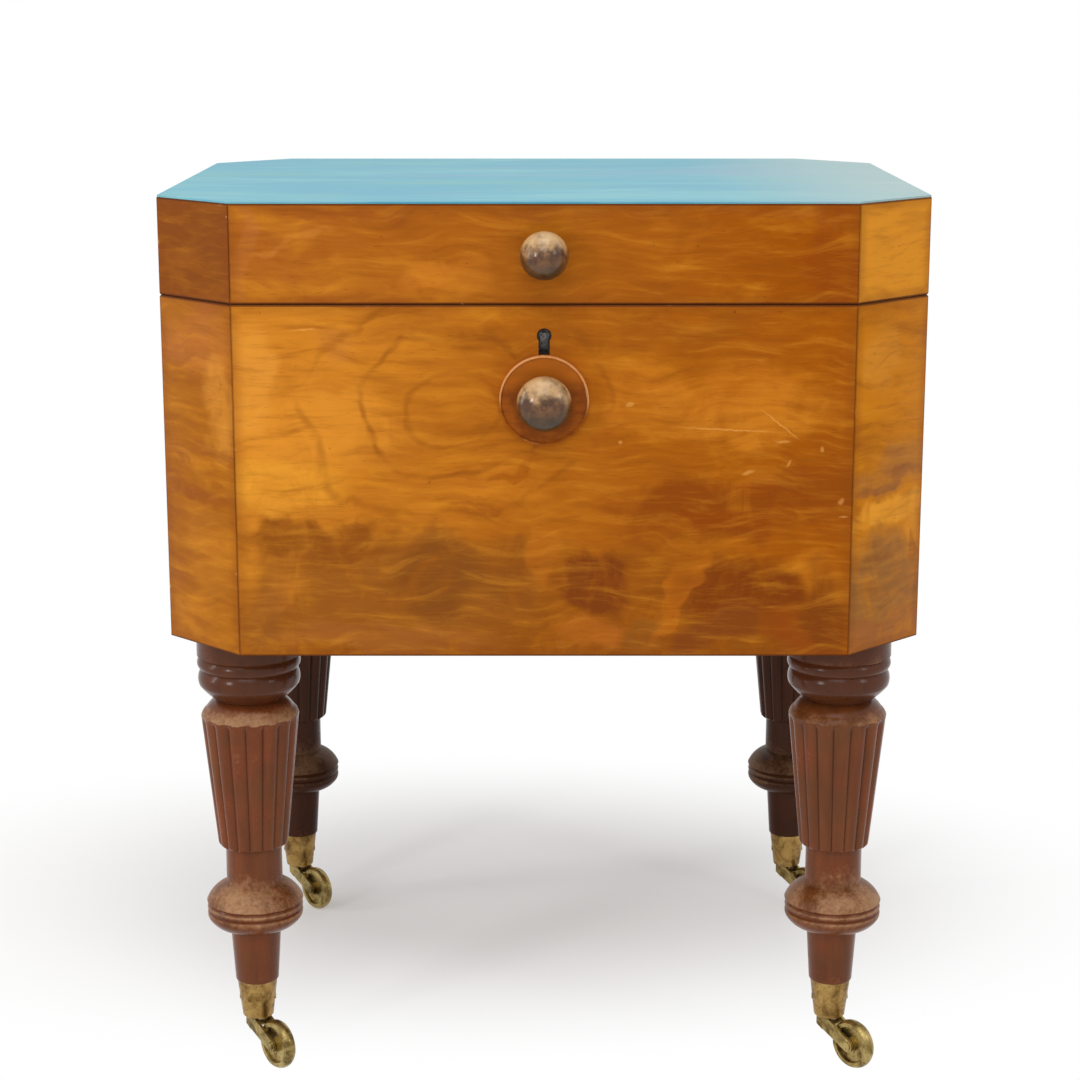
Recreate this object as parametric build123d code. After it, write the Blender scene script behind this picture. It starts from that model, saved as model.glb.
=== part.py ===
from build123d import *
import math
import os

os.makedirs("parts", exist_ok=True)

# A cellarette: a canted box with a hinged lid on four reeded legs with brass castors.
# Millimetres. X runs across the front, the front faces -Y, and Z is up from the floor,
# with the origin on the floor under the middle of the box.

# The box
box_width = 502.0
box_depth = 407.0
corner_cant = 52.5
wall = 14.0
carcase_height = 229.8
lid_height = 64.8
seam_gap = 0.4
edge_chamfer = 0.8
bottom_thickness = 18.0
lid_board_thickness = 12.0
covering_thickness = 1.2
covering_reveal = 0.4

# The legs, from the castor cup's underside to the carcase
leg_height = 274.2
leg_inset_side = 51.7
leg_inset_front = 53.5
dowel_radius = 11.0
dowel_cover = 2.0
dowel_clearance = 0.1
collar_radius = 34.8
collar_height = 13.6
collar_line = 1.4
cushion_height = 8.4
cushion_swell = 1.9
bead_radius = 33.6
bead_height = 21.0
bead_rise = 10.6
bead_swell = 1.3
groove_radius = 32.4
neck_radius = 22.8
neck_swell = 0.6
shoulder_radius = 33.3
shoulder_height = 14.6
shoulder_swell = 2.0
reed_count = 16
reed_top_radius = 32.8
reed_foot_radius = 23.6
reed_valley_share = 0.925
reed_cover = 0.5
reed_end_height = 3.2
shaft_radius = 19.1
shaft_height = 27.2
ring_radius = 33.0
ring_dome_height = 12.2
ring_dome_swell = 2.2
ring_groove_height = 3.6
ring_groove_depth = 1.6
ring_bead_inset = 0.8
ring_bead_height = 9.0
ring_foot_height = 16.0
ring_foot_swell = 2.2
ankle_height = 39.4
ankle_top_radius = 17.3
ankle_foot_radius = 14.8
edge_flat = 1.0

# The castors
castor_height = 31.0
castor_set_off = 6.2
castor_heading = -49.4
cup_length = 28.0
cup_top_radius = 13.8
cup_foot_radius = 10.4
cup_wall = 1.2
cup_floor = 2.6
cup_foot_chamfer = 1.5
cup_clearance = 0.1
cup_screw_radius = 1.1
cup_screw_length = 6.0
cup_screw_head_radius = 2.0
cup_screw_head = 0.7
wheel_diameter = 34.0
wheel_width = 8.0
wheel_crown = 1.6
wheel_rim_depth = 5.0
wheel_web = 3.6
hub_radius = 5.2
hub_width = 8.6
axle_radius = 1.9
axle_clearance = 0.05
axle_head_radius = 2.9
axle_head = 0.8
fork_side_gap = 0.4
fork_arm = 2.0
fork_eye_radius = 4.4
fork_neck = 11.0
fork_neck_height = 6.0
fork_pad_radius = 6.4
fork_pad = 3.0
swivel_gap = 0.3
stem_radius = 3.0
stem_clearance = 0.05
stem_head_radius = 4.6
stem_head = 1.4

# The knobs, from the board's face outwards
lid_knob_radius = 15.4
body_knob_radius = 17.6
knob_projection = 30.0
knob_base_radius = 9.0
knob_base = 2.0
knob_neck = 6.5
knob_waist = 1.6
knob_flare = 4.5
knob_pit_radius = 2.2
knob_pit_depth = 0.9
spigot_radius = 5.0
spigot_cover = 4.0
spigot_clearance = 0.1
rose_radius = 28.6
rose_thickness = 4.0
rose_rim = 1.8
rose_dish = 1.0
rose_gap = 0.3

# The keyhole and its escutcheon
key_below_bolt = 5.4
keyhole_head_radius = 3.6
keyhole_slot = 5.0
keyhole_drop = 11.1
escutcheon_rim = 1.0
escutcheon_proud = 0.2
escutcheon_clearance = 0.05

# The lock
lock_width = 60.0
lock_height = 45.0
lock_depth = 9.0
lock_plate = 1.5
lock_selvedge_width = 76.0
lock_clearance = 0.1
bolt_thickness = 2.4
bolt_travel = 8.0
bolt_spine = 3.0
bolt_prong = 4.0
bolt_riser = 5.0
bolt_talon = 2.5
bolt_gap = 0.3
key_swing = 9.0
drill_pin_radius = 1.2
staple_spacing = 24.0
staple_thickness = 2.0
staple_width = 5.2
staple_drop = 11.0
staple_bar = 1.8
staple_gap = 0.5
link_plate = 1.5
link_width = 64.0

# The stop hinges
hinge_inset = 23.5
hinge_length = 50.0
hinge_leaf = 1.5
hinge_leaf_cover = 2.0
hinge_clearance = 0.1
knuckle_radius = 3.4
knuckle_gap = 0.2
knuckle_share = 1 / 3
pin_radius = 1.3
pin_clearance = 0.05
stop_angle = 96.0
stop_reach = 8.5
stop_thickness = 2.0

# Countersunk screws
screw_radius = 1.4
screw_head_radius = 2.7
screw_head = 1.3
screw_length = 10.0
screw_spacing = 18.0
screw_clearance = 0.1
lock_screw_inset = 3.8

# The inside
liner_thickness = 1.5
liner_clearance = 0.2
liner_below_rim = 6.0
divider_thickness = 6.0
divider_below_rim = 33.5
divider_clearance = 0.3
long_divider_count = 2
cross_divider_count = 3

# Levels and places
box_z = castor_height + leg_height
rim_z = box_z + carcase_height
lid_z = rim_z + seam_gap
top_z = rim_z + lid_height
lid_rail_top = top_z - covering_thickness
lid_board_z = lid_rail_top - lid_board_thickness
floor_z = box_z + bottom_thickness
front_y = -box_depth / 2
back_y = box_depth / 2
leg_x = box_width / 2 - leg_inset_side
leg_y = box_depth / 2 - leg_inset_front
dowel_length = bottom_thickness - dowel_cover
spigot_length = wall - spigot_cover
wheel_radius = wheel_diameter / 2
castor_trail = wheel_radius + castor_set_off
touching = 0.001

SIDES = (
    "front",
    "cant_front_right",
    "right",
    "cant_back_right",
    "back",
    "cant_back_left",
    "left",
    "cant_front_left",
)
CORNERS = {
    "front_left": (-1, -1),
    "front_right": (1, -1),
    "back_left": (-1, 1),
    "back_right": (1, 1),
}
nodes = {}


def save(name, shape):
    nodes[name] = shape
    export_step(shape, f"parts/{name}.step")


def octagon(inset):
    """The box's plan with its canted corners, drawn in by inset, from the front's left end."""
    x = box_width / 2 - inset
    y = box_depth / 2 - inset
    cant = corner_cant - inset * (2 - math.sqrt(2))
    return [
        (-x + cant, -y),
        (x - cant, -y),
        (x, -y + cant),
        (x, y - cant),
        (x - cant, y),
        (-x + cant, y),
        (-x, y - cant),
        (-x, -y + cant),
    ]


def prism(points, low, high):
    face = make_face(Polyline(*points, close=True))
    return extrude(Pos(0, 0, low) * face, high - low)


def block(x, y, z):
    """A box between two values on each axis."""
    size = (x[1] - x[0], y[1] - y[0], z[1] - z[0])
    return Pos((x[0] + x[1]) / 2, (y[0] + y[1]) / 2, (z[0] + z[1]) / 2) * Box(*size)


def turned(points):
    """A solid turned about Z from its outline. A point is (radius, height), or (radius, height, swell)
    where the stretch that ends there swells away from the axis, or towards it where it is negative."""
    edges = []
    for (r0, z0, *_), (r1, z1, *swell) in zip(points, points[1:] + points[:1]):
        if swell:
            length = math.hypot(r1 - r0, z1 - z0)
            off = swell[0] / length * (1 if z1 > z0 else -1)
            middle = ((r0 + r1) / 2 + (z1 - z0) * off, (z0 + z1) / 2 - (r1 - r0) * off)
            edges.append(ThreePointArc((r0, z0), middle, (r1, z1)))
        else:
            edges.append(Line((r0, z0), (r1, z1)))
    return revolve(Plane.XZ * make_face(edges), Axis.Z, 360)


def quarter(width, height):
    """How far a quarter-round that is width across and height tall stands off its chord."""
    return (1 - math.sqrt(0.5)) * math.sqrt(width * height)


# The mitred boards of the carcase and of the lid, with the edges at the seam eased


def board(side, low, high, eased_at):
    outer, inner = octagon(0), octagon(wall)
    a, b = side, (side + 1) % len(SIDES)
    piece = prism([outer[a], outer[b], inner[b], inner[a]], low, high)
    along = Vector(outer[b][0] - outer[a][0], outer[b][1] - outer[a][1], 0)
    outwards = Vector(along.Y, -along.X, 0).normalized()
    level = [e for e in piece.edges() if abs(e.center().Z - eased_at) < touching]
    return chamfer(max(level, key=lambda e: e.center().dot(outwards)), edge_chamfer)


carcase = {name: board(i, box_z, rim_z, rim_z) for i, name in enumerate(SIDES)}
lid = {name: board(i, lid_z, lid_rail_top, lid_z) for i, name in enumerate(SIDES)}
bottom = prism(octagon(wall), box_z, floor_z)
lid_board = prism(octagon(wall), lid_board_z, lid_rail_top)
covering = prism(octagon(covering_reveal), lid_rail_top, top_z)


# Countersunk screws, with the hole that each takes


def countersunk(head_z, down, clearance):
    """A screw along Z whose head is flush at head_z; down is -1 or 1, the way that it points."""
    head = screw_head_radius + clearance
    shank = screw_radius + clearance
    neck = head_z + down * screw_head
    tip = head_z + down * (screw_length + clearance)
    points = [(0, head_z), (head, head_z), (shank, neck), (shank, tip), (0, tip)]
    return turned(points if down < 0 else points[::-1])


def screws_at(places, head_z, down, clearance=0.0):
    return [Pos(x, y, 0) * countersunk(head_z, down, clearance) for x, y in places]


# The stop hinges: leaves let into the back boards, knuckles behind them, and a tail on each leaf
# that meets the other's when the lid is a little past upright

hinge_y = back_y + knuckle_gap + knuckle_radius
hinge_z = rim_z + seam_gap / 2
half_hinge = hinge_length / 2
hinge_x = box_width / 2 - corner_cant - hinge_inset - half_hinge
hinge_places = (-hinge_x, hinge_x)
leaf_inner_y = back_y - wall + hinge_leaf_cover
knuckle_length = hinge_length * knuckle_share
leaf_screws = [
    (x + step * screw_spacing, (leaf_inner_y + back_y) / 2)
    for x in hinge_places
    for step in (-1, 0, 1)
]


def barrel(x0, x1, radius):
    """A cylinder along X about the hinge's axis."""
    middle = Pos((x0 + x1) / 2, hinge_y, hinge_z)
    return middle * Rot(0, 90, 0) * Cylinder(radius, x1 - x0)


def tail(x0, x1, inner, upper):
    """A plate that runs out from inner, whose face towards the other tail is on a ray."""
    half = math.radians(stop_angle / 2)
    out = (math.cos(half), math.sin(half))
    away = (-math.sin(half) * stop_thickness, math.cos(half) * stop_thickness)
    points = [
        (inner * out[0], inner * out[1]),
        (stop_reach * out[0], stop_reach * out[1]),
        (stop_reach * out[0] + away[0], stop_reach * out[1] + away[1]),
        (inner * out[0] + away[0], inner * out[1] + away[1]),
    ]
    sign = 1 if upper else -1
    flat = [(hinge_y + y, hinge_z + sign * z) for y, z in points]
    return extrude(Plane.YZ.offset(x0) * make_face(Polyline(*flat, close=True)), x1 - x0)


def leaf(x, own, other, low, high, upper):
    """own and other are the stretches of the length, from the middle, of this leaf's knuckles and
    of the other leaf's."""
    plate = block((x - half_hinge, x + half_hinge), (leaf_inner_y, back_y), (low, high))
    for x0, x1 in own:
        plate += block((x + x0, x + x1), (back_y, hinge_y), (low, high))
        plate += barrel(x + x0, x + x1, knuckle_radius)
        plate += tail(x + x0, x + x1, pin_radius + pin_clearance, upper)
    if not upper:
        for x0, x1 in other:
            clear = knuckle_radius + knuckle_gap
            plate += tail(x + x0 - knuckle_gap, x + x1 + knuckle_gap, clear, upper)
    for x0, x1 in own:
        plate -= barrel(x + x0, x + x1, pin_radius + pin_clearance)
    return plate


outer_knuckles = [
    (-half_hinge, -knuckle_length / 2 - knuckle_gap),
    (knuckle_length / 2 + knuckle_gap, half_hinge),
]
middle_knuckle = [(-knuckle_length / 2, knuckle_length / 2)]
lower_leaves = [
    leaf(x, outer_knuckles, middle_knuckle, rim_z - hinge_leaf, rim_z, False) for x in hinge_places
]
upper_leaves = [
    leaf(x, middle_knuckle, outer_knuckles, lid_z, lid_z + hinge_leaf, True) for x in hinge_places
]
for i, x in enumerate(hinge_places):
    near = [place for place in leaf_screws if abs(place[0] - x) < half_hinge]
    for hole in screws_at(near, rim_z, -1, screw_clearance):
        lower_leaves[i] -= hole
    for hole in screws_at(near, lid_z, 1, screw_clearance):
        upper_leaves[i] -= hole
pins = [barrel(x - half_hinge, x + half_hinge, pin_radius) for x in hinge_places]
for x in hinge_places:
    seat = (x - half_hinge - hinge_clearance, x + half_hinge + hinge_clearance)
    inwards = (leaf_inner_y - hinge_clearance, back_y + wall)
    carcase["back"] -= block(seat, inwards, (rim_z - hinge_leaf, rim_z + wall))
    lid["back"] -= block(seat, inwards, (lid_z - wall, lid_z + hinge_leaf))

# The box lock, let into the front board from behind, and the link plate under the lid's front

lock_back_y = front_y + wall
lock_front_y = lock_back_y - lock_depth
lock_y = (lock_front_y + lock_back_y) / 2
lock_foot_z = rim_z - lock_height
plate_foot_z = rim_z - lock_plate
cavity_y = (lock_front_y + lock_plate, lock_back_y - lock_plate)
cavity_x = lock_width / 2 - lock_plate
staple_foot_z = lid_z - staple_drop
window_z = (staple_foot_z + staple_bar, staple_foot_z + staple_bar + bolt_prong + 2 * staple_gap)
prong_z = (window_z[0] + staple_gap, window_z[1] - staple_gap)
spine_z = (staple_foot_z - staple_gap - bolt_spine, staple_foot_z - staple_gap)
key_z = spine_z[0] - key_below_bolt
staples = (-staple_spacing / 2, staple_spacing / 2)
lock_screws = [
    (side * (lock_selvedge_width / 2 - lock_screw_inset), lock_y) for side in (-1, 1)
]
link_screws = [(side * (staple_spacing / 2 + link_width / 2) / 2, lock_y) for side in (-1, 1)]


def keyhole(grow, y0, y1):
    """The keyhole's outline, a round head over a slot, cut along Y and grown by a margin."""
    head = Pos(0, (y0 + y1) / 2, key_z) * Rot(90, 0, 0) * Cylinder(keyhole_head_radius + grow, y1 - y0)
    half = keyhole_slot / 2 + grow
    return head + block((-half, half), (y0, y1), (key_z - keyhole_drop - grow, key_z))


lock_case = block((-lock_width / 2, lock_width / 2), (lock_front_y, lock_back_y), (lock_foot_z, rim_z))
lock_case += block(
    (-lock_selvedge_width / 2, lock_selvedge_width / 2),
    (lock_front_y, lock_back_y),
    (plate_foot_z, rim_z),
)
lock_case -= block((-cavity_x, cavity_x), cavity_y, (lock_foot_z + lock_plate, plate_foot_z))
for side in (-1, 1):
    ledge = sorted((side * (key_swing + bolt_travel / 2), side * cavity_x))
    lock_case += block(ledge, cavity_y, (lock_foot_z + lock_plate, spine_z[0] - bolt_gap))
for x in staples:
    half = staple_thickness / 2 + staple_gap
    lock_case -= block((x - half, x + half), cavity_y, (plate_foot_z, rim_z))
lock_case -= keyhole(0, lock_front_y, cavity_y[0])
drill_pin = Cylinder(drill_pin_radius, cavity_y[1] - cavity_y[0])
lock_case += Pos(0, lock_y, key_z) * Rot(90, 0, 0) * drill_pin
for hole in screws_at(lock_screws, rim_z, -1, screw_clearance):
    lock_case -= hole

bolt_y = (lock_y - bolt_thickness / 2, lock_y + bolt_thickness / 2)
prong_tips = [x - staple_thickness / 2 - staple_gap * 2 for x in staples]
riser_ends = [tip - bolt_travel for tip in prong_tips]
spine_x = (riser_ends[0] - bolt_riser, cavity_x - bolt_travel - bolt_gap)
lock_bolt = block(spine_x, bolt_y, spine_z)
for tip, end in zip(prong_tips, riser_ends):
    lock_bolt += block((end - bolt_riser, end), bolt_y, (spine_z[0], prong_z[1]))
    lock_bolt += block((end - bolt_riser, tip), bolt_y, prong_z)
for side in (-1, 1):
    middle = side * (key_swing - bolt_talon) - bolt_travel / 2
    lug = (middle - bolt_talon / 2, middle + bolt_talon / 2)
    lock_bolt += block(lug, bolt_y, (spine_z[0] - bolt_talon, spine_z[1]))

link = block((-link_width / 2, link_width / 2), (lock_front_y, lock_back_y), (lid_z, lid_z + link_plate))
for x in staples:
    span = (x - staple_thickness / 2, x + staple_thickness / 2)
    across = (lock_y - staple_width / 2, lock_y + staple_width / 2)
    link += block(span, across, (staple_foot_z, lid_z + link_plate))
    gap = (bolt_y[0] - staple_gap, bolt_y[1] + staple_gap)
    link -= block(span, gap, window_z)
for hole in screws_at(link_screws, lid_z, 1, screw_clearance):
    link -= hole

case_hole = lock_width / 2 + lock_clearance
case_top = (plate_foot_z, rim_z + wall)
hole_y = (lock_front_y, lock_back_y + wall)
carcase["front"] -= block((-case_hole, case_hole), hole_y, (lock_foot_z, rim_z + wall))
selvedge_hole = lock_selvedge_width / 2 + lock_clearance
carcase["front"] -= block((-selvedge_hole, selvedge_hole), hole_y, case_top)
link_hole = link_width / 2 + lock_clearance
lid["front"] -= block((-link_hole, link_hole), hole_y, (lid_z - wall, lid_z + link_plate))
escutcheon = keyhole(escutcheon_rim, front_y - escutcheon_proud, lock_front_y)
escutcheon -= keyhole(0, front_y - wall, lock_front_y)
escutcheon_hole = escutcheon_rim + escutcheon_clearance
carcase["front"] -= keyhole(escutcheon_hole, front_y - wall, lock_front_y)

carcase_screw_places = leaf_screws + lock_screws
lid_screw_places = leaf_screws + link_screws
carcase_screws = screws_at(carcase_screw_places, rim_z, -1)
lid_screws = screws_at(lid_screw_places, lid_z, 1)
for side, rows in (("back", leaf_screws), ("front", lock_screws)):
    for hole in screws_at(rows, rim_z, -1, screw_clearance):
        carcase[side] -= hole
for side, rows in (("back", leaf_screws), ("front", link_screws)):
    for hole in screws_at(rows, lid_z, 1, screw_clearance):
        lid[side] -= hole

# The turned knobs: a round head on a waisted neck, with a spigot let into the board. The lower
# one is larger, sits on a rose and has a small pit in the middle of its head.


def crown(radius, foot, rise):
    """A round head's outline from its widest place to its crown, as two arcs that meet smoothly."""
    turn = math.radians(45)
    off = (rise - radius) / (math.cos(turn) + math.sin(turn) - 1)
    side = radius + off * math.cos(turn)
    top = rise - off * math.sin(turn)
    bulge = 1 - math.cos(turn / 2)
    meeting = (top * math.cos(turn), foot + rise - top * (1 - math.sin(turn)))
    return [(*meeting, side * bulge), (0, foot + rise, top * bulge)]


def knob(z, seat, radius, pitted):
    """seat is how far in front of the board's face the knob sits."""
    height = knob_projection - seat
    widest = knob_base + knob_neck + knob_flare
    piece = turned(
        [
            (0, -spigot_length - seat),
            (spigot_radius, -spigot_length - seat),
            (spigot_radius, 0),
            (knob_base_radius, 0),
            (knob_base_radius, knob_base),
            (radius - knob_flare, knob_base + knob_neck, -knob_waist),
            (radius, widest, quarter(knob_flare, knob_flare)),
            *crown(radius, widest, height - widest),
        ]
    )
    if pitted:
        piece -= extrude(Pos(0, 0, height - knob_pit_depth) * Circle(knob_pit_radius), height)
    return Pos(0, front_y - seat, z) * Rot(90, 0, 0) * piece


lid_knob_z = rim_z + lid_height / 2
body_knob_z = key_z - keyhole_drop - escutcheon_rim - rose_gap - rose_radius
lid_knob = knob(lid_knob_z, 0, lid_knob_radius, False)
body_knob = knob(body_knob_z, rose_thickness, body_knob_radius, True)
rose_bore = spigot_radius + spigot_clearance
rose = turned(
    [
        (rose_bore, 0),
        (rose_radius, 0),
        (rose_radius, rose_thickness - rose_rim / 2),
        (rose_radius - rose_rim / 2, rose_thickness, quarter(rose_rim / 2, rose_rim / 2)),
        (rose_radius - rose_rim, rose_thickness - rose_dish),
        (knob_base_radius + rose_rim, rose_thickness - rose_dish),
        (knob_base_radius, rose_thickness),
        (rose_bore, rose_thickness),
    ]
)
rose = Pos(0, front_y, body_knob_z) * Rot(90, 0, 0) * rose


def spigot_hole(z):
    radius = spigot_radius + spigot_clearance
    depth = spigot_length + spigot_clearance
    return Pos(0, front_y + depth / 2, z) * Rot(90, 0, 0) * Cylinder(radius, depth)


lid["front"] -= spigot_hole(lid_knob_z)
carcase["front"] -= spigot_hole(body_knob_z)

# The lead liner and the half-lapped dividers that stand in it

liner_floor_z = floor_z + liner_thickness
liner_inset = wall + liner_clearance
inner_inset = liner_inset + liner_thickness
liner_top_z = rim_z - liner_below_rim
liner_floor = prism(octagon(liner_inset), floor_z, liner_floor_z)
liner_walls = prism(octagon(liner_inset), liner_floor_z, liner_top_z)
liner_walls -= prism(octagon(inner_inset), liner_floor_z, liner_top_z)
divider_x = box_width / 2 - inner_inset - divider_clearance
divider_y = box_depth / 2 - inner_inset - divider_clearance
divider_z = (liner_floor_z, rim_z - divider_below_rim)
lap_z = (divider_z[0] + divider_z[1]) / 2
half_divider = divider_thickness / 2
half_slot = half_divider + divider_clearance


def spaced(count, half_span):
    """The middles of count dividers that part a span into equal cells."""
    return [half_span * (2 * (i + 1) / (count + 1) - 1) for i in range(count)]


long_y = spaced(long_divider_count, divider_y)
cross_x = spaced(cross_divider_count, divider_x)
long_boards = []
for y in long_y:
    piece = block((-divider_x, divider_x), (y - half_divider, y + half_divider), divider_z)
    for x in cross_x:
        across = (x - half_slot, x + half_slot)
        piece -= block(across, (y - half_slot, y + half_slot), (lap_z, divider_z[1]))
    long_boards.append(piece)
cross_boards = []
for x in cross_x:
    piece = block((x - half_divider, x + half_divider), (-divider_y, divider_y), divider_z)
    for y in long_y:
        across = (y - half_slot, y + half_slot)
        piece -= block((x - half_slot, x + half_slot), across, (divider_z[0], lap_z))
    cross_boards.append(piece)

# The castors' cups, tapered sockets screwed to the legs' ends

cup_top_z = castor_height + cup_length
cup_floor_z = castor_height + cup_floor
swivel_bore = stem_radius + stem_clearance
cup_taper = (cup_top_radius - cup_foot_radius) / cup_length


def cup_radius(z):
    return cup_foot_radius + cup_taper * (z - castor_height)


cup = turned(
    [
        (cup_top_radius - cup_wall, cup_top_z),
        (cup_top_radius, cup_top_z),
        (cup_radius(castor_height + cup_foot_chamfer), castor_height + cup_foot_chamfer),
        (cup_foot_radius - cup_foot_chamfer, castor_height),
        (swivel_bore, castor_height),
        (swivel_bore, cup_floor_z),
        (cup_radius(cup_floor_z) - cup_wall, cup_floor_z),
    ]
)
cup_screw_z = castor_height + cup_length / 2
cup_face = cup_radius(cup_screw_z)


def cup_screw(side, clearance):
    """A screw through the cup's wall on the side that faces -X or +X, its head let in by half.
    With a clearance it is the hole for one, which runs on out past the cup."""
    head_x = cup_face - cup_screw_head / 2
    length = cup_top_radius if clearance else cup_screw_head
    tip_x = cup_face - cup_screw_length - clearance
    piece = Plane.YZ.offset(head_x) * Circle(cup_screw_head_radius + clearance)
    piece = extrude(piece, length)
    shank = Plane.YZ.offset(tip_x) * Circle(cup_screw_radius + clearance)
    piece += extrude(shank, head_x - tip_x)
    return Pos(0, 0, cup_screw_z) * Rot(0, 0, 0 if side > 0 else 180) * piece


for side in (-1, 1):
    cup -= cup_screw(side, screw_clearance)

# The legs: turned, then reeded along the taper, with a dowel at the top and a tapered tenon that
# fills the castor's cup

collar_foot_z = box_z - collar_height
cushion_foot_z = collar_foot_z - cushion_height
neck_z = cushion_foot_z - bead_height
shoulder_z = neck_z - shoulder_height
ring_foot_z = cup_top_z + ankle_height
ring_groove_z = ring_foot_z + ring_foot_height
ring_top_z = ring_groove_z + ring_groove_height
shaft_foot_z = ring_top_z + ring_dome_height
shaft_top_z = shaft_foot_z + shaft_height
reed_foot_z = shaft_top_z + reed_end_height
reed_taper = (reed_top_radius - reed_foot_radius) / (shoulder_z - reed_foot_z)
envelope_foot = reed_foot_radius + reed_cover
cushion_top_radius = collar_radius - collar_line
ring_bead_radius = ring_radius - ring_bead_inset
tenon_top_radius = cup_top_radius - cup_wall - cup_clearance
tenon_foot_radius = cup_radius(cup_floor_z) - cup_wall - cup_clearance
pocket_radius = stem_head_radius + swivel_gap
pocket_top_z = cup_floor_z + stem_head + 2 * swivel_gap


def reeds(phase, z):
    """The reeded section at a height: convex arcs that meet in sharp valleys."""
    crest = reed_top_radius + reed_taper * (z - shoulder_z)
    valley = crest * reed_valley_share
    step = 360 / reed_count

    def at(radius, turns):
        angle = math.radians(step * (turns + phase))
        return (radius * math.cos(angle), radius * math.sin(angle))

    arcs = [
        ThreePointArc(at(valley, i - 0.5), at(crest, i), at(valley, i + 0.5))
        for i in range(reed_count)
    ]
    return Pos(0, 0, z) * make_face(arcs)


def leg(phase):
    piece = turned(
        [
            (0, box_z + dowel_length),
            (dowel_radius, box_z + dowel_length),
            (dowel_radius, box_z),
            (collar_radius, box_z),
            (collar_radius, collar_foot_z + collar_line),
            (cushion_top_radius, collar_foot_z),
            (groove_radius, cushion_foot_z, cushion_swell),
            (bead_radius, cushion_foot_z - bead_rise, bead_swell),
            (neck_radius, neck_z, neck_swell),
            (shoulder_radius, shoulder_z, shoulder_swell),
            (envelope_foot, reed_foot_z),
            (shaft_radius, shaft_top_z, quarter(envelope_foot - shaft_radius, reed_end_height)),
            (shaft_radius, shaft_foot_z),
            (ring_radius, ring_top_z, ring_dome_swell),
            (ring_radius - ring_groove_depth, (ring_top_z + ring_groove_z) / 2),
            (ring_bead_radius, ring_groove_z),
            (ring_bead_radius, ring_groove_z - ring_bead_height, ring_bead_inset),
            (ankle_top_radius + edge_flat, ring_foot_z, ring_foot_swell),
            (ankle_top_radius, ring_foot_z),
            (ankle_foot_radius, cup_top_z + edge_flat),
            (ankle_foot_radius - edge_flat, cup_top_z),
            (tenon_top_radius, cup_top_z),
            (tenon_foot_radius, cup_floor_z),
            (pocket_radius, cup_floor_z),
            (pocket_radius, pocket_top_z),
            (0, pocket_top_z),
        ]
    )
    carved = extrude(Pos(0, 0, shaft_top_z) * Circle(2 * collar_radius), neck_z - shaft_top_z)
    carved -= loft([reeds(phase, shaft_top_z), reeds(phase, neck_z)], ruled=True)
    piece -= carved
    for side in (-1, 1):
        piece -= cup_screw(side, screw_clearance)
    return piece


for x, y in CORNERS.values():
    bore = Cylinder(dowel_radius + dowel_clearance, 2 * (dowel_length + dowel_clearance))
    bottom -= Pos(x * leg_x, y * leg_y, box_z) * bore

# A reed or a valley faces the front, turn and turn about
REED_PHASE = {"front_left": 0.5, "front_right": 0, "back_left": 0, "back_right": 0.5}

# The castors' forks, wheels and axles, made with the swivel's axis on Z and the wheel trailing
# along X, then turned to the way that they point

fork_top_z = castor_height - swivel_gap
arm_inner = hub_width / 2 + fork_side_gap
arm_outer = arm_inner + fork_arm
axle_place = Pos(castor_trail, 0, wheel_radius) * Rot(90, 0, 0)
half_neck = fork_neck / 2
eye_hole = axle_radius + axle_clearance / 2


def fork_side(points, y0, y1):
    face = make_face(Polyline(*points, close=True))
    return extrude(Plane.XZ.offset(-y1) * face, y1 - y0)


neck_foot_z = fork_top_z - fork_neck_height
fork_arm_outline = [
    (-half_neck, fork_top_z),
    (-half_neck, neck_foot_z),
    (castor_trail - fork_eye_radius / 2, wheel_radius - fork_eye_radius * math.sqrt(0.75)),
    (castor_trail + fork_eye_radius / 2, wheel_radius + fork_eye_radius * math.sqrt(0.75)),
    (half_neck, fork_top_z),
]
neck_outline = [
    (-half_neck, fork_top_z),
    (-half_neck, neck_foot_z),
    (0, neck_foot_z - fork_pad),
    (half_neck - fork_pad / 2, neck_foot_z),
    (half_neck, fork_top_z),
]
fork = fork_side(neck_outline, -arm_outer, arm_outer)
fork += Pos(0, 0, fork_top_z - fork_pad / 2) * Cylinder(fork_pad_radius, fork_pad)
for y0, y1 in ((-arm_outer, -arm_inner), (arm_inner, arm_outer)):
    fork += fork_side(fork_arm_outline, y0, y1)
    eye = Cylinder(fork_eye_radius, fork_arm)
    fork += Pos(0, -(y0 + y1) / 2, 0) * axle_place * eye
fork -= axle_place * Cylinder(eye_hole, 2 * arm_outer + fork_arm)
stem_top_z = cup_floor_z + swivel_gap
fork += extrude(Pos(0, 0, fork_top_z) * Circle(stem_radius), stem_top_z - fork_top_z)
fork += extrude(Pos(0, 0, stem_top_z) * Circle(stem_head_radius), stem_head)
axle = axle_place * Cylinder(axle_radius, 2 * arm_outer)
for side in (-1, 1):
    head = Pos(0, 0, side * (arm_outer + axle_head / 2)) * Cylinder(axle_head_radius, axle_head)
    axle += axle_place * head
half_wheel = wheel_width / 2
rim_inner = wheel_radius - wheel_rim_depth
wheel_bore = axle_radius + axle_clearance
wheel = axle_place * turned(
    [
        (wheel_bore, hub_width / 2),
        (wheel_bore, -hub_width / 2),
        (hub_radius, -hub_width / 2),
        (hub_radius, -wheel_web / 2),
        (rim_inner, -wheel_web / 2),
        (rim_inner + wheel_crown / 2, -half_wheel),
        (wheel_radius - wheel_crown, -half_wheel),
        (wheel_radius - wheel_crown, half_wheel, wheel_crown),
        (rim_inner + wheel_crown / 2, half_wheel),
        (rim_inner, wheel_web / 2),
        (hub_radius, wheel_web / 2),
        (hub_radius, hub_width / 2),
    ]
)

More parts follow.
